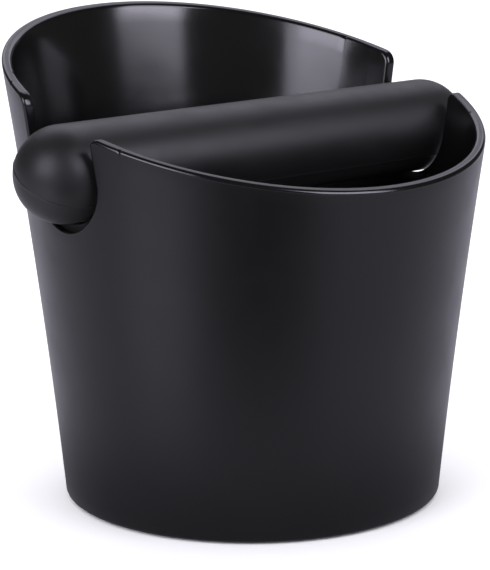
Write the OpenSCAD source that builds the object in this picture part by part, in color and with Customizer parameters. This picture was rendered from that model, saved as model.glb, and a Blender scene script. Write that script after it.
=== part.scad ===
// Espresso knock box: a tapered tub with a sloping rim, and a knock bar that
// lies across it in two U-shaped seats and lifts straight out.
// Units are millimetres. The origin is on the tub's axis, on the surface that
// the box stands on. +Z is up, the bar lies along X, the low front faces -Y.

/* [Tub] */
// Outer diameter at the foot of the tub
foot_d = 98; // [90:0.5:110]
// Outer diameter that the side would reach at the height of the rim's back
mouth_d = 129; // [122:0.5:138]
// Outward lean of the side at the foot, in degrees
side_lean = 5.4; // [4:0.1:6.5]
// Height of the rim's high back above the surface
back_h = 122.6; // [118:0.1:130]
// Height of the rim's low front above the surface
front_h = 88.8; // [84:0.1:92]
// Thickness of the side wall
wall = 2.7; // [2.2:0.1:3.2]
// Height of the tub's floor above the surface
floor_h = 4.6; // [4:0.1:6]
// Radius of the corner between floor and wall, inside
floor_fillet = 5; // [3:0.5:8]
// Radius of the outer edge at the foot
foot_fillet = 1; // [0.5:0.1:1.5]

/* [Knock bar] */
// Diameter over the rubber
bar_d = 24.7; // [22:0.1:26]
// Length over the rounded ends
bar_l = 141; // [138:0.5:150]
// Height of the bar's axis above the surface
bar_h = 90.6; // [88:0.1:93]
// Outer diameter of the steel tube inside the rubber
core_d = 16; // [12:0.5:18]
// Wall of the steel tube
core_wall = 1.5; // [1:0.1:2]
// Length of the steel tube
core_l = 104; // [90:1:108]
// Thickness of a plug's head, beyond the end of the tube
plug_head = 3; // [2:0.5:4]
// Length of a plug's stem, inside the tube
plug_stem = 9; // [6:1:14]

/* [Bar seats] */
// Play on each side of the bar in its seats
seat_play = 0.5; // [0.3:0.1:0.7]
// Gap left under the bar where it rests
seat_gap = 0.2; // [0.2:0.05:0.4]
// Width of the step around the seat's outer side
seat_step = 0.9; // [0.6:0.05:1.5]
// Depth of that step, measured from the tub's outer face
seat_step_depth = 1.5; // [1:0.1:2]
// Extra depth of the step under the bar
seat_step_drop = 0.8; // [0:0.1:1.2]
// Radius of the seats' front corners, where they meet the rim
seat_front_corner = 2; // [1.5:0.1:4]
// Radius of the seats' back corners
seat_back_corner = 4; // [2:0.1:5]
// Extra wall on the inside around each seat
boss_t = 0.5; // [0.3:0.1:1.2]
// Width of that thicker wall
boss_w = 45; // [40:1:60]

/* [Base pad] */
// Diameter of the non-slip pad
pad_d = 88; // [80:1:92]
// Thickness of the pad
pad_t = 2.2; // [1.8:0.1:2.5]
// Height that the pad holds the tub off the surface
pad_proud = 0.5; // [0.3:0.1:0.8]

/* [Hidden] */

$fn = 96;
eps = 0.01;
far = 200;
over = 2;
side_steps = 6;
arc_steps = 4;
corner_steps = 8;
// Turn of the round bodies, which keeps their seam away from the seats.
seam_turn = 50;

foot_r = foot_d / 2;
bar_r = bar_d / 2;
core_r = core_d / 2;
core_bore_r = core_r - core_wall;
end_centre_x = bar_l / 2 - bar_r;
pad_r = pad_d / 2;
top_h = back_h + over;

// The side's outer radius grows with height by its lean and by a slight flare.
lean = tan(side_lean);
flare = (mouth_d / 2 - foot_r - lean * back_h) / pow(back_h, 2);
function side_r(z) = foot_r + lean * z + flare * z * z;

// The rim lies in one plane, which rises from the front to the back.
rim_rise = (back_h - front_h) / (side_r(back_h) + side_r(front_h));
rim_mid_h = front_h + rim_rise * side_r(front_h);
rim_slope = atan(rim_rise);
function rim_h(y) = rim_mid_h + rim_rise * y;

seat_r = bar_r + seat_play;
seat_arc_h = bar_h - bar_r - seat_gap + seat_r;

// Points up the side from height low, moved in from the outer face by inset.
function side_points(inset, low) =
    [for (i = [0 : side_steps])
        let (z = low + (top_h - low) * i / side_steps)
        [side_r(z) - inset, z]];

// The rounded corner at the foot of a side that starts at height low.
function foot_points(inset, low, corner) =
    [for (i = [0 : arc_steps - 1])
        let (t = 90 * i / arc_steps - 90)
        [side_r(low) - inset - corner + corner * cos(t), low + corner + corner * sin(t)]];

function profile(inset, low, corner) =
    concat(foot_points(inset, low, corner), side_points(inset, low + corner));

function reversed(points) = [for (i = [len(points) - 1 : -1 : 0]) points[i]];

// Half of the tub's section: up the outside, down the inside to the floor, then
// along the recess that the pad fills on the underside.
module tub_section()
{
    polygon(concat(
        profile(0, pad_proud, foot_fillet),
        reversed(profile(wall, floor_h, floor_fillet)),
        [[0, floor_h],
         [0, pad_t],
         [pad_r, pad_t],
         [pad_r, pad_proud]]));
}

// The thicker wall inside, around both seats and down to the floor.
module seat_bosses()
{
    intersection()
    {
        rotate([0, 0, seam_turn])
            rotate_extrude()
                polygon(concat(
                    profile(wall + boss_t, floor_h, floor_fillet),
                    reversed(profile(wall / 2, pad_t + over / 2, floor_fillet)),
                    [[0, pad_t + over / 2], [0, floor_h]]));
        translate([-far, -boss_w / 2, 0])
            cube([2 * far, boss_w, far]);
    }
}

// The rounded corner from a seat's side up to the rim, seen along X.
// side is -1 at the front and 1 at the back.
function seat_corner_points(half_w, side) =
    let (corner = side < 0 ? seat_front_corner : seat_back_corner,
         y = side * (half_w + corner),
         z = rim_h(y) - corner / cos(rim_slope),
         from = 90 + side * 90,
         to = 90 + rim_slope)
    [for (i = [0 : corner_steps])
        let (t = from + (to - from) * i / corner_steps)
        [y + corner * cos(t), z + corner * sin(t)]];

// All that is open above the rim and between the sides of a seat with the given
// half width and the given height of its arc's centre. It runs along X, right
// through the tub.
module opening(half_w, arc_h)
{
    translate([0, 0, arc_h])
        rotate([0, 90, 0])
            cylinder(r = half_w, h = 2 * far, center = true);
    rotate([90, 0, 90])
        translate([0, 0, -far])
            linear_extrude(height = 2 * far)
                polygon(concat(
                    [[-half_w, arc_h]],
                    seat_corner_points(half_w, -1),
                    [[-far, rim_h(-far)], [-far, 2 * far], [far, 2 * far], [far, rim_h(far)]],
                    reversed(seat_corner_points(half_w, 1)),
                    [[half_w, arc_h]]));
}

// The step around the outer side of both seats.
module seat_steps()
{
    low = seat_arc_h - 2 * seat_r;
    intersection()
    {
        opening(seat_r + seat_step, seat_arc_h - seat_step_drop);
        rotate([0, 0, seam_turn])
            rotate_extrude()
                polygon(concat(
                    [[mouth_d, low], [mouth_d, top_h]],
                    reversed(side_points(seat_step_depth, low))));
    }
}

module tub_shell()
{
    color("#1b1c1f")
        difference()
        {
            union()
            {
                rotate([0, 0, seam_turn])
                    rotate_extrude()
                        tub_section();
                seat_bosses();
            }
            opening(seat_r, seat_arc_h);
            seat_steps();
        }
}

module non_slip_pad()
{
    color("#26272a")
        cylinder(r = pad_r, h = pad_t);
}

module along_bar()
{
    translate([0, 0, bar_h])
        rotate([0, 90, 0])
            children();
}

module bar_sleeve()
{
    cavity_l = core_l + 2 * plug_head;
    color("#202124")
        along_bar()
            rotate_extrude()
                difference()
                {
                    intersection()
                    {
                        union()
                        {
                            translate([0, -end_centre_x])
                                square([bar_r, 2 * end_centre_x]);
                            for (side = [-1, 1])
                                translate([0, side * end_centre_x])
                                    circle(r = bar_r);
                        }
                        translate([0, -bar_l])
                            square([bar_r, 2 * bar_l]);
                    }
                    translate([0, -cavity_l / 2])
                        square([core_r, cavity_l]);
                }
}

module bar_core_tube()
{
    color("#8f9296")
        along_bar()
            difference()
            {
                cylinder(r = core_r, h = core_l, center = true);
                cylinder(r = core_bore_r, h = core_l + 2 * eps, center = true);
            }
}

// side is -1 for the left end and 1 for the right end.
module bar_end_plug(side)
{
    color("#3a3b3f")
        translate([side * core_l / 2, 0, bar_h])
            rotate([0, side * 90, 0])
            {
                cylinder(r = core_r, h = plug_head);
                translate([0, 0, -plug_stem])
                    cylinder(r = core_bore_r, h = plug_stem + eps);
            }
}

tub_shell();
non_slip_pad();
bar_sleeve();
bar_core_tube();
bar_end_plug(-1);  // bar_end_plug_left
bar_end_plug(1);  // bar_end_plug_right
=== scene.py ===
# Looks of the espresso knock box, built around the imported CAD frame. All sizes are in metres.
import math

import bmesh
import bpy
from mathutils import Matrix, Vector


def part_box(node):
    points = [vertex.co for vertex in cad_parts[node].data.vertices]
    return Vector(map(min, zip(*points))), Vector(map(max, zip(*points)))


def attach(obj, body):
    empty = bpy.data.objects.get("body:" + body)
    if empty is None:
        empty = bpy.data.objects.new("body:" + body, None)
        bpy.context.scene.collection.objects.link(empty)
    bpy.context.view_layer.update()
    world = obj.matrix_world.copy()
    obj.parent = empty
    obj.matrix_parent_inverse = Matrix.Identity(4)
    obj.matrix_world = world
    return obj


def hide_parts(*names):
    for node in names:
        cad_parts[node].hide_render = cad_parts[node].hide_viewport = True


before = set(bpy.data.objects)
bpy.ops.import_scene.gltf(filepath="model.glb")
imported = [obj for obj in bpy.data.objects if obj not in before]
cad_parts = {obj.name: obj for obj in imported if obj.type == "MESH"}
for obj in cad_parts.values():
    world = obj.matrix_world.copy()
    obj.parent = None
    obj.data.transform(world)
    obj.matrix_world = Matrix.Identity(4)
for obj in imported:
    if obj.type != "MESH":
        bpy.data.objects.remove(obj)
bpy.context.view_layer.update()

MM = 0.001

# ---------------------------------------------------------------- sizes taken from the frame
tub_low, tub_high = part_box("tub_shell")
bar_low, bar_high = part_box("bar_sleeve")
pad_low, pad_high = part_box("non_slip_pad")

BACK_H = tub_high.z
FOOT_LOW = tub_low.z
BACK_Y = tub_high.y
FRONT_Y = -tub_low.y
BAR_R = (bar_high.z - bar_low.z) / 2
BAR_H = (bar_high.z + bar_low.z) / 2
BAR_HALF = (bar_high.x - bar_low.x) / 2
PAD_R = (pad_high.x - pad_low.x) / 2
PAD_T = pad_high.z - pad_low.z

# ---------------------------------------------------------------- sizes of the moulding
# The side leans outward from the foot, and a slight flare brings it to the mouth.
FOOT_R = 49 * MM
SIDE_LEAN = math.tan(math.radians(5.4))
FLARE = (BACK_Y - FOOT_R - SIDE_LEAN * BACK_H) / BACK_H**2
WALL = 2.7 * MM
FLOOR_H = 4.6 * MM
FLOOR_FILLET = 5 * MM
FOOT_FILLET = 1.0 * MM
# The gap between the pad and the side of its recess.
PAD_SEAM = 0.25 * MM
# The thicker wall inside round each seat, out to BOSS_HALF from its middle, and the ramp there.
BOSS_T = 0.35 * MM
BOSS_HALF = 26.5 * MM
BOSS_RAMP = 8.0 * MM
# Fillets of the edge, outside and inside, on the rim and then round the seats.
RIM_FILLET = 1.0 * MM
INNER_FILLET = 0.8 * MM
SEAT_FILLET = 0.5 * MM
SEAT_INNER_FILLET = 0.12 * MM
# Room round the bar in its seats, and the rounded corners from the seats up to the rim.
SEAT_PLAY = 0.32 * MM
SEAT_GAP = 0.2 * MM
FRONT_CORNER_R = 2.2 * MM
BACK_CORNER_R = 4.0 * MM
# The step round the outside of a seat: its width, the extra width under the bar, its depth
# into the wall, the slope of its face, the rounded lip at its inner end and the crease where
# its side meets its face.
STEP_WIDTH = 1.1 * MM
STEP_DROP = 0.8 * MM
STEP_DEPTH = 1.5 * MM
STEP_SLOPE = 0.6 * MM
STEP_LIP = 0.3 * MM
STEP_CREASE = 0.12 * MM
# The middle of a small bend lies this share of its size from the corner that it replaces.
BEND_MIDDLE = 0.3
# How far the step is formed where the front corner meets the upright, and the share of the
# seat's arc after which it fades out.
CORNER_SHARE = 0.45
STEP_FADE = 0.72
# The mould inserts' witness marks beside the seats.
OUTER_WITNESS_Y = 21.6 * MM
WITNESS_W = 0.24 * MM
WITNESS_DEPTH = 0.14 * MM

# ---------------------------------------------------------------- fineness of the tub's mesh
# Stretches of the edge with their side and steps, from the middle of the front, through the
# right seat, to the middle of the back. Side is -1 in front of the bar, 1 behind it and 0
# under it.
EDGE_RUNS = [
    ("rim_far", -1, 64), ("rim_ramp", -1, 40), ("rim_near", -1, 40), ("corner", -1, 20),
    ("upright", -1, 24), ("arc", 0, 48), ("upright", 1, 32), ("corner", 1, 28),
    ("rim_near", 1, 24), ("rim_ramp", 1, 40), ("rim_far", 1, 72),
]
FILLET_STEPS = 6
# Rows of faces down the step's side, next to the outer fillet.
SIDE_STEPS = 2
# Rows of faces over the flat part of the edge.
FLAT_STEPS = 3
BENDS = [math.pi / 2 * i / FILLET_STEPS for i in range(FILLET_STEPS + 1)]
WALL_ROWS = 26
FOOT_ROWS = 6
FLOOR_ROWS = 8
# Rings on the flat of the pad's recess and on the floor, as shares of the radius.
RECESS_RINGS = (0.6, 0.25)
FLOOR_RINGS = (0.8, 0.55, 0.3, 0.12)
# Where the columns below the seat's parts reach the foot, as shares of the boss's flat half.
FOOT_SHARES = {"rim_near": (0.93, 1.0), "corner": (0.87, 0.93), "upright": (0.8, 0.87)}
ARC_FOOT_SHARE = 0.8
# Rounds of the search for the height of the rim at a given azimuth.
RIM_ROUNDS = 12
# Points closer together than this become one.
SAME_PLACE = 1e-7


def side_r(z):
    """Radius of the tub's outer face at height z."""
    return FOOT_R + SIDE_LEAN * z + FLARE * z * z


# The rim's plane rises from the front to the back.
FRONT_H = (-SIDE_LEAN + math.sqrt(SIDE_LEAN**2 - 4 * FLARE * (FOOT_R - FRONT_Y))) / (2 * FLARE)
RIM_RISE = (BACK_H - FRONT_H) / (BACK_Y + FRONT_Y)
RIM_MID = FRONT_H + RIM_RISE * FRONT_Y
RIM_SLANT = math.sqrt(1 + RIM_RISE**2)
RIM_ANGLE = math.atan(RIM_RISE)
SEAT_R = BAR_R + SEAT_PLAY
SEAT_ARC_H = BAR_H - BAR_R - SEAT_GAP + SEAT_R


def rim_h(y):
    return RIM_MID + RIM_RISE * y


def lerp(a, b, t):
    return a + (b - a) * t


def smooth(t):
    t = min(1.0, max(0.0, t))
    return t * t * (3 - 2 * t)


def wall_t(y):
    """Thickness of the side wall, which is more beside the seats."""
    return WALL + BOSS_T * min(1.0, max(0.0, (BOSS_HALF - abs(y)) / BOSS_RAMP))


# ---------------------------------------------------------------- the tub's edge
# The edge of the tub is one closed line: rim, corner, down into a seat, round it and up again.
# It is walked from the middle of the front to the middle of the back, on the right and then
# mirrored. A stop is (kind, side, fraction), and edge_point gives its place for any offset
# into the material and any depth into the wall.
def edge_stops():
    first_kind, first_side, _ = EDGE_RUNS[0]
    stops = [(first_kind, first_side, 0.0)]
    for kind, side, count in EDGE_RUNS:
        stops.extend((kind, side, i / count) for i in range(1, count + 1))
    return stops


def outward(stop):
    """A stop's fraction, counted away from the seat."""
    _, side, f = stop
    return f if side > 0 else 1 - f


def on_wall(y, z, depth):
    """The point of the right half of the wall at y and z, at a depth inside the outer face."""
    r = side_r(z) - depth
    return math.sqrt(max(0.0, r * r - y * y)), y, z


def on_rim_by_y(y, offset, depth):
    return on_wall(y, rim_h(y) - offset * RIM_SLANT, depth)


def on_rim_by_angle(angle, offset, depth):
    y = side_r(RIM_MID) * math.sin(angle)
    for _ in range(RIM_ROUNDS):
        z = rim_h(y) - offset * RIM_SLANT
        y = (side_r(z) - depth) * math.sin(angle)
    z = rim_h(y) - offset * RIM_SLANT
    r = side_r(z) - depth
    return r * math.cos(angle), r * math.sin(angle), z


def step_share(stop):
    """How far the step round the outside of a seat is formed. It runs down the front side and
    round the bottom, and fades out before the back side and towards the front corner."""
    kind, side, f = stop
    if kind == "arc":
        return 1 - smooth((f - STEP_FADE) / (1 - STEP_FADE))
    if side > 0:
        return 0.0
    if kind == "upright":
        return lerp(CORNER_SHARE, 1.0, smooth(f))
    if kind == "corner":
        return CORNER_SHARE * smooth(f)
    return 0.0


def edge_point(stop, offset, depth):
    """The place of a stop, moved offset into the material and depth into the wall."""
    kind, side, f = stop
    if kind == "arc":
        a = math.pi * (1 + f)
        reach = SEAT_R + offset
        return on_wall(reach * math.cos(a), SEAT_ARC_H + reach * math.sin(a), depth)
    f_out = outward(stop)
    if kind == "rim_far":
        x, y, _ = on_rim_by_y(side * BOSS_HALF, offset, depth)
        return on_rim_by_angle(lerp(math.atan2(y, x), side * math.pi / 2, f_out), offset, depth)
    if kind == "rim_ramp":
        return on_rim_by_y(side * (BOSS_HALF - BOSS_RAMP * (1 - f_out)), offset, depth)
    full_r = BACK_CORNER_R if side > 0 else FRONT_CORNER_R
    corner_y = side * (SEAT_R + full_r)
    corner_z = rim_h(corner_y) - full_r * RIM_SLANT
    if kind == "upright":
        return on_wall(side * (SEAT_R + offset), lerp(SEAT_ARC_H, corner_z, f_out), depth)
    corner_r = full_r - offset
    touch = math.pi / 2 + RIM_ANGLE
    if kind == "rim_near":
        touch_y = corner_y + corner_r * math.cos(touch)
        return on_rim_by_y(lerp(touch_y, side * (BOSS_HALF - BOSS_RAMP), f_out), offset, depth)
    a = lerp(math.pi if side > 0 else 0.0, touch, f_out)
    return on_wall(corner_y + corner_r * math.cos(a), corner_z + corner_r * math.sin(a), depth)


def outer_profile(stop):
    """Offset and depth of the points over the outer edge: a fillet, then the side, the crease,
    the face and the lip of the step, which all shrink to nothing away from the seats."""
    share = step_share(stop)
    low = math.sin(math.pi * stop[2]) ** 2 if stop[0] == "arc" else 0.0
    fillet = lerp(RIM_FILLET, SEAT_FILLET, share)
    width = share * (STEP_WIDTH + low * STEP_DROP)
    deep = lerp(fillet, STEP_DEPTH, share)
    crease = share * STEP_CREASE
    lip = share * STEP_LIP
    end = deep + share * STEP_SLOPE
    points = [(width + fillet * (1 - math.sin(a)), fillet * (1 - math.cos(a))) for a in BENDS]
    points += [
        (width, lerp(fillet, deep - crease, 0.5)),
        (width, deep - crease),
        (width - BEND_MIDDLE * crease, deep - BEND_MIDDLE * crease),
        (width - crease, deep),
        (lerp(width - crease, lip, 0.5), lerp(deep, end, 0.5)),
    ]
    points += [(lip * (1 - math.sin(a)), end + lip * (1 - math.cos(a))) for a in BENDS[::2]]
    return points


def witness(y, mark_y):
    """Depth of the mould insert's witness mark, a short nick across a fillet beside each seat."""
    d = (abs(y) - mark_y) / WITNESS_W
    return WITNESS_DEPTH * math.exp(-d * d)


def edge_section(stop):
    """Points across the edge at one stop, from the outer face to the inner one."""
    share = step_share(stop)
    profile = outer_profile(stop)
    nick = witness(edge_point(stop, 0, 0)[1], OUTER_WITNESS_Y) * (1 - share)
    points = []
    for i, (offset, depth) in enumerate(profile):
        across = nick * math.sin(2 * BENDS[i]) if i <= FILLET_STEPS else 0.0
        points.append(edge_point(stop, offset + across, depth + across))
    # The inner edge is sharper round the bar than on the rim.
    fillet = lerp(INNER_FILLET, SEAT_INNER_FILLET, share)
    inner_y = edge_point(stop, 0, WALL)[1]
    thick = wall_t(inner_y)
    deep = profile[-1][1]
    for i in range(1, FLAT_STEPS):
        points.append(edge_point(stop, 0, lerp(deep, thick - fillet, i / FLAT_STEPS)))
    nick = witness(inner_y, BOSS_HALF) * (1 - share)
    for i in range(FILLET_STEPS + 1):
        a = math.pi / 2 * (1 - i / FILLET_STEPS)
        offset = fillet * (1 - math.sin(a)) + nick * math.sin(2 * a)
        depth = fillet * (1 - math.cos(a)) + nick * math.sin(2 * a)
        points.append(edge_point(stop, offset, thick - depth))
    return points


# ---------------------------------------------------------------- walls under the edge
def foot_y(stop):
    """Y at the foot of the column that starts at a stop beside or in a seat."""
    kind, side, f = stop
    flat_half = BOSS_HALF - BOSS_RAMP
    if kind == "arc":
        return lerp(-ARC_FOOT_SHARE, ARC_FOOT_SHARE, f) * flat_half
    if kind == "rim_ramp":
        return side * (flat_half + BOSS_RAMP * outward(stop))
    low, high = FOOT_SHARES[kind]
    return side * lerp(low, high, outward(stop)) * flat_half


def far_angle(stop, r):
    """Azimuth of a column on the open part of the rim, where the wall's radius is r."""
    return stop[1] * lerp(math.asin(BOSS_HALF / r), math.pi / 2, outward(stop))


def wall_column(stop, top, z_foot, depth_of):
    """Points from below an edge point down to the foot, on the surface depth_of(y) inside."""
    x_top, y_top, z_top = top
    column = []
    for i in range(1, WALL_ROWS + 1):
        t = i / WALL_ROWS
        z = lerp(z_top, z_foot, t)
        if stop[0] == "rim_far":
            # The edge point's own azimuth is kept at the top and given up towards the foot.
            r = side_r(z) - depth_of(BOSS_HALF)
            drift = math.atan2(y_top, x_top) - far_angle(stop, math.hypot(x_top, y_top))
            a = far_angle(stop, r) + drift * (1 - t)
        else:
            y = lerp(y_top, foot_y(stop), t)
            r = side_r(z) - depth_of(y)
            a = math.asin(y / r)
        column.append((r * math.cos(a), r * math.sin(a), z))
    return column


def turned(profile, azimuth):
    """A profile's points, which are radius and height, at one azimuth."""
    return [(r * math.cos(azimuth), r * math.sin(azimuth), z) for r, z in profile]


def foot_corner(side, low, fillet, rows):
    """Profile of the rounded corner from a side at radius side in to a flat at height low."""
    bends = [math.pi / 2 * i / rows for i in range(1, rows + 1)]
    return [(side - fillet * (1 - math.cos(a)), low + fillet * (1 - math.sin(a))) for a in bends]


def tub_column(stop):
    """One section of the tub, from near the centre of its underside, round the outside, over
    the edge and down the inside to near the centre of the floor. Returns its points and the
    indices where the edge starts and ends."""
    edge = edge_section(stop)
    outer = wall_column(stop, edge[0], FOOT_LOW + FOOT_FILLET, lambda y: 0.0)
    under = foot_corner(side_r(FOOT_LOW), FOOT_LOW, FOOT_FILLET, FOOT_ROWS)
    under += [
        (PAD_R + 2 * PAD_SEAM, FOOT_LOW),
        (PAD_R + PAD_SEAM, FOOT_LOW + PAD_SEAM),
        (PAD_R + PAD_SEAM, PAD_T),
    ]
    under += [(PAD_R * share, PAD_T) for share in RECESS_RINGS]
    bottom = turned(under, math.atan2(outer[-1][1], outer[-1][0]))
    inner = wall_column(stop, edge[-1], FLOOR_H + FLOOR_FILLET, wall_t)
    inner_x, inner_y, _ = inner[-1]
    inner_r = math.hypot(inner_x, inner_y)
    floor_profile = foot_corner(inner_r, FLOOR_H, FLOOR_FILLET, FLOOR_ROWS)
    floor_profile += [((inner_r - FLOOR_FILLET) * share, FLOOR_H) for share in FLOOR_RINGS]
    base = turned(floor_profile, math.atan2(inner_y, inner_x))
    points = bottom[::-1] + outer[::-1] + edge + inner + base
    edge_start = len(bottom) + len(outer)
    return points, edge_start, edge_start + len(edge)


# ---------------------------------------------------------------- the tub
# The slots of the tub's three finishes.
SATIN, POLISHED, GLOSS = range(3)


def new_object(name, data):
    obj = bpy.data.objects.new(name, data)
    bpy.context.collection.objects.link(obj)
    return obj


def finished(bm, name, materials):
    """Turns a bmesh into an object with these materials in its slots."""
    bmesh.ops.recalc_face_normals(bm, faces=bm.faces)
    mesh = bpy.data.meshes.new(name)
    bm.to_mesh(mesh)
    bm.free()
    for material in materials:
        mesh.materials.append(material)
    return new_object(name, mesh)


def tub_finish(row, stop, edge_start, edge_end):
    """Slot of the face that starts at a row of a stop's column: satin outside, gloss inside,
    and polished on the edge's fillets and on the back sides of the seats."""
    kind, side, _ = stop
    if row >= edge_end - 1:
        return GLOSS
    on_back_side = side > 0 and kind in ("corner", "upright")
    outer_end = edge_end if on_back_side else edge_start + FILLET_STEPS + SIDE_STEPS
    if edge_start <= row < outer_end:
        return POLISHED
    on_inner_fillet = row >= edge_end - FILLET_STEPS - 1
    return POLISHED if on_inner_fillet and step_share(stop) < CORNER_SHARE else SATIN


def build_tub(materials):
    right_stops = edge_stops()
    sections = [tub_column(stop) for stop in right_stops]
    _, edge_start, edge_end = sections[0]
    columns = [points for points, _, _ in sections]
    columns += [[(-x, y, z) for x, y, z in points] for points in columns[-2:0:-1]]
    stops = right_stops + right_stops[-2:0:-1]
    bm = bmesh.new()
    grid = [[bm.verts.new(point) for point in column] for column in columns]
    centre_low = bm.verts.new((0, 0, PAD_T))
    centre_high = bm.verts.new((0, 0, FLOOR_H))
    for c, (stop, column) in enumerate(zip(stops, grid)):
        following = grid[(c + 1) % len(grid)]
        for row in range(len(column) - 1):
            face = bm.faces.new((column[row], following[row], following[row + 1], column[row + 1]))
            face.material_index = tub_finish(row, stop, edge_start, edge_end)
            face.smooth = True
        bm.faces.new((column[0], centre_low, following[0])).smooth = True
        top = bm.faces.new((column[-1], following[-1], centre_high))
        top.smooth = True
        top.material_index = GLOSS
    bmesh.ops.remove_doubles(bm, verts=bm.verts, dist=SAME_PLACE)
    return finished(bm, "tub_moulding", materials)


# ---------------------------------------------------------------- knock bar
# The mould's parting plane runs along the bar, tilted, and a little below its axis.
PARTING_ANGLE = math.radians(209)
PARTING_BELOW = 0.8 * MM
PARTING_W = 0.22 * MM
PARTING_H = 0.13 * MM
# Distances from the parting line, round the bar, of the points that shape it. Evenly spaced
# points fill the rest of each half.
PARTING_CLOSE = [0.1 * MM, 0.2 * MM, 0.32 * MM, 0.5 * MM, 0.8 * MM]
HALF_MARGIN = 0.05
HALF_STEPS = 56
# At the bar's tips the parting plane passes the smallest rings, and this limits the sine there.
STEEPEST_TILT = 0.9
BAR_END_ROWS = 40
BAR_ROWS = 60


def parting_ridge(r, angle):
    """Height of the fine mould line on the bar, at radius r from its axis."""
    d = (r * math.sin(angle - PARTING_ANGLE) - PARTING_BELOW) / PARTING_W
    return PARTING_H * math.exp(-d * d)


def bar_angles(r):
    """Angles round a ring of the bar with radius r, closer together at the parting line."""
    tilt = math.asin(min(STEEPEST_TILT, PARTING_BELOW / r))
    first = PARTING_ANGLE + tilt
    ends = [first, PARTING_ANGLE + math.pi - tilt, first + 2 * math.pi]
    near = [d / BAR_R / math.pi for d in PARTING_CLOSE]
    evenly = [lerp(HALF_MARGIN, 1 - HALF_MARGIN, i / HALF_STEPS) for i in range(HALF_STEPS + 1)]
    fractions = [0.0] + near + evenly + [1 - f for f in near[::-1]]
    angles = []
    for start, end in zip(ends, ends[1:]):
        angles += [start + (end - start) * f for f in fractions]
    return angles


def build_bar(material):
    centre_x = BAR_HALF - BAR_R
    bends = [math.pi / 2 * i / BAR_END_ROWS for i in range(1, BAR_END_ROWS + 1)]
    stations = [(-centre_x - BAR_R * math.cos(t), BAR_R * math.sin(t)) for t in bends]
    stations += [(lerp(-centre_x, centre_x, i / BAR_ROWS), BAR_R) for i in range(1, BAR_ROWS)]
    stations += [(-x, r) for x, r in stations[BAR_END_ROWS - 1::-1]]
    bm = bmesh.new()
    rings = []
    for x, r in stations:
        ring = []
        beyond = max(0.0, abs(x) - centre_x) / BAR_R
        for a in bar_angles(r):
            # The ridge's top keeps the bar's full size, and the rest is sunk below it.
            sunk = PARTING_H - parting_ridge(r, a)
            ring_x = x - math.copysign(sunk * beyond, x)
            ring_r = r - sunk * r / BAR_R
            ring.append(bm.verts.new((ring_x, ring_r * math.cos(a), BAR_H + ring_r * math.sin(a))))
        rings.append(ring)
    count = len(rings[0])
    for low, high in zip(rings, rings[1:]):
        for i in range(count):
            j = (i + 1) % count
            bm.faces.new((low[i], low[j], high[j], high[i])).smooth = True
    for ring, sign in ((rings[0], -1), (rings[-1], 1)):
        tip = bm.verts.new((sign * (BAR_HALF - PARTING_H), 0, BAR_H))
        for i in range(count):
            bm.faces.new((ring[i], ring[(i + 1) % count], tip)).smooth = True
    return finished(bm, "knock_bar_rubber", [material])


# ---------------------------------------------------------------- base pad
PAD_CHAMFER = 0.4 * MM
# Shares of the pad's radius: a ring on its top, and the middle of its underside without grip.
TOP_RING = 0.5
PLAIN_MIDDLE = 0.3
GRIP_GROOVE = 0.25 * MM
GRIP_PITCH = 1.6 * MM
GRIP_RINGS = 9
GRIP_MARGIN = 3 * MM
PAD_STEPS = 192


def pad_profile():
    """Radius and height, from the centre of the top, round the side, to the centre below."""
    profile = [
        (0.0, PAD_T),
        (PAD_R * TOP_RING, PAD_T),
        (PAD_R, PAD_T),
        (PAD_R, PAD_T / 2),
        (PAD_R, PAD_CHAMFER),
        (PAD_R - BEND_MIDDLE * PAD_CHAMFER, BEND_MIDDLE * PAD_CHAMFER),
        (PAD_R - PAD_CHAMFER, 0.0),
    ]
    quarter = GRIP_PITCH / 4
    for i in range(GRIP_RINGS):
        r = PAD_R - GRIP_MARGIN - i * GRIP_PITCH
        profile += [
            (r, 0.0),
            (r - quarter, GRIP_GROOVE),
            (r - 2 * quarter, GRIP_GROOVE),
            (r - 3 * quarter, 0.0),
        ]
    return profile + [(PAD_R * PLAIN_MIDDLE, 0.0), (0.0, 0.0)]


def build_pad(material):
    """The non-slip pad: a disc with a rounded edge and fine rings of grip on its underside."""
    turn = [2 * math.pi * i / PAD_STEPS for i in range(PAD_STEPS)]
    bm = bmesh.new()
    rings = []
    for r, z in pad_profile():
        if r == 0.0:
            rings.append([bm.verts.new((0, 0, z))])
        else:
            rings.append([bm.verts.new((r * math.cos(a), r * math.sin(a), z)) for a in turn])
    for one, two in zip(rings, rings[1:]):
        for i in range(PAD_STEPS):
            j = (i + 1) % PAD_STEPS
            corners = [one[i % len(one)], one[j % len(one)], two[j % len(two)], two[i % len(two)]]
            bm.faces.new(list(dict.fromkeys(corners))).smooth = False
    return finished(bm, "non_slip_pad_rubber", [material])


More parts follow.
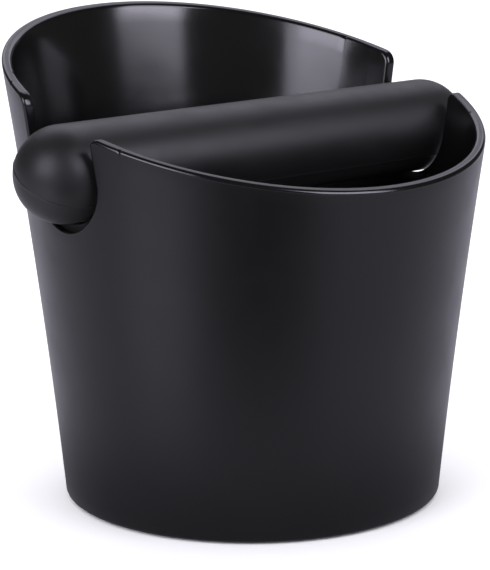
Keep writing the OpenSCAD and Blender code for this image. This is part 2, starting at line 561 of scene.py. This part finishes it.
# ---------------------------------------------------------------- materials
class Nodes:
    """Small helper to write node trees."""

    def __init__(self, name):
        self.material = bpy.data.materials.new(name)
        self.material.use_nodes = True
        self.tree = self.material.node_tree
        self.tree.nodes.clear()
        self.out = self.add("ShaderNodeOutputMaterial")
        self.coord = self.add("ShaderNodeTexCoord")

    def principled(self, **values):
        """Adds the surface's shader. A value's name is its socket's, with _ for each space."""
        shader = self.add("ShaderNodeBsdfPrincipled")
        for name, value in values.items():
            shader.inputs[name.replace("_", " ")].default_value = value
        self.link(shader, "BSDF", self.out, "Surface")
        return shader

    def add(self, kind, **values):
        node = self.tree.nodes.new(kind)
        for key, value in values.items():
            if key in node.inputs:
                node.inputs[key].default_value = value
            else:
                setattr(node, key, value)
        return node

    def link(self, a, a_out, b, b_in):
        self.tree.links.new(a.outputs[a_out], b.inputs[b_in])

    def noise(self, scale, detail=2.0, rough=0.5):
        node = self.add("ShaderNodeTexNoise", Scale=scale, Detail=detail, Roughness=rough)
        self.link(self.coord, "Object", node, "Vector")
        return node

    def ramp(self, source, low, high, at=(0.3, 0.7)):
        """Maps a source's 0 to 1 onto two colours or two levels."""
        node = self.add("ShaderNodeValToRGB")
        for element, position, value in zip(node.color_ramp.elements, at, (low, high)):
            element.position = position
            element.color = value if hasattr(value, "__len__") else (value, value, value, 1)
        self.link(source, "Fac" if "Fac" in source.outputs else 0, node, "Fac")
        return node

    def bump(self, height, strength, distance, below=None):
        node = self.add("ShaderNodeBump", Strength=strength, Distance=distance)
        self.link(height, "Fac", node, "Height")
        if below is not None:
            self.link(below, "Normal", node, "Normal")
        return node


def plastic(name, colours, roughness, grain, grain_depth, specular=0.5):
    """Moulded black plastic: faint colour drift, uneven gloss and a fine grain."""
    n = Nodes(name)
    shader = n.principled(Specular_IOR_Level=specular, IOR=1.5)
    drift = n.noise(scale=40, detail=3)
    n.link(n.ramp(drift, *colours), "Color", shader, "Base Color")
    haze = n.noise(scale=90, detail=4, rough=0.6)
    n.link(n.ramp(haze, *roughness), "Color", shader, "Roughness")
    fine = n.noise(scale=grain, detail=2, rough=0.6)
    wave = n.bump(n.noise(scale=60, detail=1), strength=0.15, distance=0.4 * MM)
    tooth = n.bump(fine, strength=0.5, distance=grain_depth, below=wave)
    n.link(tooth, "Normal", shader, "Normal")
    return n.material


def rubber(name, colours, roughness, grain, grain_depth):
    """Soft-touch rubber: matt, with a faint sheen and a very fine tooth."""
    n = Nodes(name)
    shader = n.principled(Sheen_Weight=0.03, Sheen_Roughness=0.5, Specular_IOR_Level=0.57)
    drift = n.noise(scale=55, detail=4)
    n.link(n.ramp(drift, *colours), "Color", shader, "Base Color")
    haze = n.noise(scale=120, detail=4, rough=0.6)
    n.link(n.ramp(haze, *roughness), "Color", shader, "Roughness")
    fine = n.noise(scale=grain, detail=3, rough=0.7)
    n.link(n.bump(fine, strength=0.5, distance=grain_depth), "Normal", shader, "Normal")
    return n.material


# Cells of the steel's noise per metre: long along the bar, and fine across it.
LINE_SCALE = (4, 900, 900)


def steel(name, colours, roughness):
    """Drawn steel tube: fine lines along its length."""
    n = Nodes(name)
    shader = n.principled(Metallic=1.0)
    mapping = n.add("ShaderNodeMapping")
    mapping.inputs["Scale"].default_value = LINE_SCALE
    n.link(n.coord, "Object", mapping, "Vector")
    lines = n.add("ShaderNodeTexNoise", Scale=3.0, Detail=4.0)
    n.link(mapping, "Vector", lines, "Vector")
    n.link(n.ramp(lines, *colours), "Color", shader, "Base Color")
    n.link(n.ramp(lines, *roughness), "Color", shader, "Roughness")
    n.link(n.bump(lines, strength=0.2, distance=0.05 * MM), "Normal", shader, "Normal")
    return n.material


OUTSIDE = plastic(
    "tub_outside_satin",
    colours=((0.0024, 0.0024, 0.0027, 1), (0.0032, 0.0032, 0.0036, 1)),
    roughness=(0.30, 0.36), grain=2600, grain_depth=0.02 * MM, specular=0.5)
EDGE = plastic(
    "tub_edge_polished",
    colours=((0.0026, 0.0026, 0.0029, 1), (0.0034, 0.0034, 0.0037, 1)),
    roughness=(0.12, 0.17), grain=2200, grain_depth=0.01 * MM, specular=0.6)
INSIDE = plastic(
    "tub_inside_gloss",
    colours=((0.0032, 0.0032, 0.0034, 1), (0.0040, 0.0040, 0.0042, 1)),
    roughness=(0.14, 0.18), grain=2000, grain_depth=0.01 * MM, specular=0.9)
BAR_RUBBER = rubber(
    "bar_soft_touch_rubber",
    colours=((0.0040, 0.0040, 0.0044, 1), (0.0056, 0.0056, 0.0061, 1)),
    roughness=(0.42, 0.50), grain=3000, grain_depth=0.03 * MM)
PAD_RUBBER = rubber(
    "pad_rubber",
    colours=((0.018, 0.018, 0.019, 1), (0.028, 0.028, 0.029, 1)),
    roughness=(0.7, 0.8), grain=1800, grain_depth=0.05 * MM)
CORE_STEEL = steel(
    "core_drawn_steel",
    colours=((0.42, 0.43, 0.44, 1), (0.6, 0.6, 0.61, 1)),
    roughness=(0.28, 0.42))
PLUG_PLASTIC = plastic(
    "plug_moulded_plastic",
    colours=((0.035, 0.035, 0.037, 1), (0.05, 0.05, 0.052, 1)),
    roughness=(0.45, 0.55), grain=1500, grain_depth=0.04 * MM)

# ---------------------------------------------------------------- pieces on their bodies
tub = build_tub([OUTSIDE, EDGE, INSIDE])
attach(tub, "tub")
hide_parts("tub_shell")

pad = build_pad(PAD_RUBBER)
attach(pad, "tub")
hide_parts("non_slip_pad")

bar = build_bar(BAR_RUBBER)
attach(bar, "knock_bar")
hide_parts("bar_sleeve")


def paint(node, material):
    """Gives a CAD node, which stays as it is inside the bar, its material."""
    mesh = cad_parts[node].data
    if not mesh.materials:
        mesh.materials.append(material)
    for i in range(len(mesh.materials)):
        mesh.materials[i] = material


paint("bar_core_tube", CORE_STEEL)
paint("bar_end_plug_left", PLUG_PLASTIC)
paint("bar_end_plug_right", PLUG_PLASTIC)

# ---------------------------------------------------------------- floor
bpy.context.scene.view_settings.view_transform = "Standard"

FLOOR_HALF = 3.0
# The painted floor reflection lies this much under the floor.
MIRROR_BELOW = 1 * MM
# A faint violet tint of the lights and of the painted floor reflection.
LIGHT_TINT = (1.02, 0.985, 1.16)
# Levels of the painted floor reflection: the grey paper, the painted pool of light on it, and what
# the lighter back, the painted dark patch and the tub's painted shade round its foot multiply it
# by.
MIRROR_GREY = 0.5
MIRROR_LIGHT = 0.95
MIRROR_BACK = 1.5
# Level of the painted dark patch in the floor's reflection before the tub.
MIRROR_DARK_PATCH = 0.03
MIRROR_SHADE = 0.42


def stage_plane(name, material):
    """A large square on the ground, which isn't part of the object."""
    half = FLOOR_HALF
    mesh = bpy.data.meshes.new(name)
    corners = [(-half, -half, 0), (half, -half, 0), (half, half, 0), (-half, half, 0)]
    mesh.from_pydata(corners, [], [(0, 1, 2, 3)])
    mesh.materials.append(material)
    obj = new_object(name, mesh)
    return obj


def pale_floor():
    n = Nodes("pale_floor")
    n.principled(Base_Color=(0.95, 0.95, 0.95, 1), Roughness=0.6, Specular_IOR_Level=0.0)
    stage_plane("floor", n.material).visible_glossy = False


def pool(n, place, turn, size, low, high):
    """A soft oval painted on the floor's reflection, turned about Z: the level goes from low round
    it to high in it.
    """
    mapping = n.add("ShaderNodeMapping", vector_type="TEXTURE")
    mapping.inputs["Location"].default_value = (*place, 0)
    mapping.inputs["Rotation"].default_value = (0, 0, math.radians(turn))
    mapping.inputs["Scale"].default_value = (*size, 1)
    n.link(n.coord, "Object", mapping, "Vector")
    oval = n.add("ShaderNodeTexGradient", gradient_type="SPHERICAL")
    n.link(mapping, "Vector", oval, "Vector")
    ramp = n.ramp(oval, low, high, at=(0.0, 0.5))
    ramp.color_ramp.interpolation = "EASE"
    return ramp


def tinted(level):
    return tuple(level * part for part in LIGHT_TINT) + (1,)


def painted_floor_reflection():
    """What the glossy surfaces see of the floor, painted on a glowing plane that is no lamp: the
    grey paper, a painted pool of light on the left of the tub, lighter behind it, a painted dark
    patch before it and the tub's painted shade round its foot."""
    n = Nodes("painted_floor_reflection")
    # Painted reflection of the grey paper, with a painted pool of light on the left of the tub.
    paper = pool(n, place=(-0.27, -0.03), turn=0, size=(0.2, 0.085),
                 low=tinted(MIRROR_GREY), high=tinted(MIRROR_LIGHT))
    # Painted lighter reflection behind the tub.
    back = pool(n, place=(0.31, 0.39), turn=0, size=(0.62, 0.62), low=1.0, high=MIRROR_BACK)
    # A painted dark patch in the floor's reflection, before the tub.
    dark_patch = pool(n, place=(-0.185, -0.275), turn=-124, size=(0.26, 0.17), low=1.0, high=MIRROR_DARK_PATCH)
    # Painted shade round the tub's foot in the floor's reflection.
    shade = pool(n, place=(0, 0), turn=0, size=(0.12, 0.12), low=1.0, high=MIRROR_SHADE)
    level = paper.outputs["Color"]
    for factor in (back, dark_patch, shade):
        times = n.add("ShaderNodeVectorMath", operation="MULTIPLY")
        n.tree.links.new(level, times.inputs[0])
        n.tree.links.new(factor.outputs["Color"], times.inputs[1])
        level = times.outputs["Vector"]
    # The plane glows with the painted reflection; it is no lamp, and only glossy rays see it.
    glow = n.add("ShaderNodeEmission")
    n.tree.links.new(level, glow.inputs["Color"])
    n.link(glow, "Emission", n.out, "Surface")
    obj = stage_plane("painted_floor_reflection", n.material)
    obj.location.z = -MIRROR_BELOW
    obj.visible_camera = obj.visible_diffuse = obj.visible_shadow = False


# ---------------------------------------------------------------- light
ROOM_LIGHT = 1.1
DARK_LIGHT = 0.06
LIGHT_AIM_H = 70 * MM


def background(tree, strength):
    node = tree.nodes.new("ShaderNodeBackground")
    node.inputs["Color"].default_value = (1, 1, 1, 1)
    node.inputs["Strength"].default_value = strength
    return node.outputs["Background"]


def studio():
    """A white room that glossy reflections see as dark, so that they show only the softboxes
    and the painted floor reflection."""
    world = bpy.data.worlds.new("studio")
    world.use_nodes = True
    tree = world.node_tree
    tree.nodes.clear()
    path = tree.nodes.new("ShaderNodeLightPath")
    mix = tree.nodes.new("ShaderNodeMixShader")
    out = tree.nodes.new("ShaderNodeOutputWorld")
    tree.links.new(path.outputs["Is Glossy Ray"], mix.inputs["Fac"])
    tree.links.new(background(tree, ROOM_LIGHT), mix.inputs[1])
    tree.links.new(background(tree, DARK_LIGHT), mix.inputs[2])
    tree.links.new(mix.outputs["Shader"], out.inputs["Surface"])
    bpy.context.scene.world = world


def softbox(name, azimuth, elevation, distance, width, height, radiance):
    """A rectangular light that faces the tub. Azimuth is counter-clockwise from +X."""
    az, el = math.radians(azimuth), math.radians(elevation)
    away = Vector((math.cos(az) * math.cos(el), math.sin(az) * math.cos(el), math.sin(el)))
    light = bpy.data.lights.new(name, "AREA")
    light.shape = "RECTANGLE"
    light.size, light.size_y = width, height
    light.energy = radiance * math.pi * width * height
    light.color = LIGHT_TINT
    obj = new_object(name, light)
    obj.location = away * distance + Vector((0, 0, LIGHT_AIM_H))
    obj.rotation_euler = (-away).to_track_quat("-Z", "Y").to_euler()
    obj.visible_camera = False
    return obj


def softboxes():
    """Two in front, each with a brighter core, and two behind the tub, high and low."""
    softbox("front_right", azimuth=-74.2, elevation=29, distance=0.9,
            width=0.60, height=0.6, radiance=2.15)
    core = softbox("front_right_core", azimuth=-74.2, elevation=30.5, distance=0.85,
                   width=0.48, height=0.42, radiance=2.9)
    core.visible_diffuse = False
    softbox("front_left", azimuth=-166, elevation=24, distance=0.9,
            width=0.62, height=0.55, radiance=2.15)
    softbox("front_left_core", azimuth=-167, elevation=26, distance=0.85,
            width=0.40, height=0.40, radiance=2.1)
    softbox("high_back", azimuth=52, elevation=45, distance=0.9,
            width=1.0, height=0.65, radiance=1.1)
    softbox("low_back", azimuth=52, elevation=6, distance=1.2,
            width=1.4, height=0.3, radiance=0.5)


# ---------------------------------------------------------------- camera
VIEW_AZ = math.radians(-38.05)
VIEW_EL = math.radians(12.89)
VIEW_ROLL = math.radians(-0.34)
VIEW_DISTANCE = 0.6597
VIEW_TARGET = Vector((-1.9, 0.3, 54.7)) * MM
# Lens and sensor are in millimetres, as Blender takes them.
LENS = 160.5
SENSOR = 36
CLIP_START = 10 * MM


def camera():
    """The photo's view. Azimuth 0 looks at the front, and a negative one comes from the left."""
    back = Vector((math.sin(VIEW_AZ) * math.cos(VIEW_EL),
                   -math.cos(VIEW_AZ) * math.cos(VIEW_EL),
                   math.sin(VIEW_EL)))
    right = Vector((math.cos(VIEW_AZ), math.sin(VIEW_AZ), 0))
    up = back.cross(right)
    across = right * math.cos(VIEW_ROLL) + up * math.sin(VIEW_ROLL)
    upward = up * math.cos(VIEW_ROLL) - right * math.sin(VIEW_ROLL)
    data = bpy.data.cameras.new("camera")
    data.lens = LENS
    data.sensor_width = SENSOR
    data.clip_start = CLIP_START
    obj = new_object("camera", data)
    turn = Matrix((across, upward, back)).transposed().to_4x4()
    obj.matrix_world = Matrix.Translation(VIEW_TARGET + back * VIEW_DISTANCE) @ turn
    bpy.context.scene.camera = obj


pale_floor()
studio()
softboxes()
painted_floor_reflection()
camera()
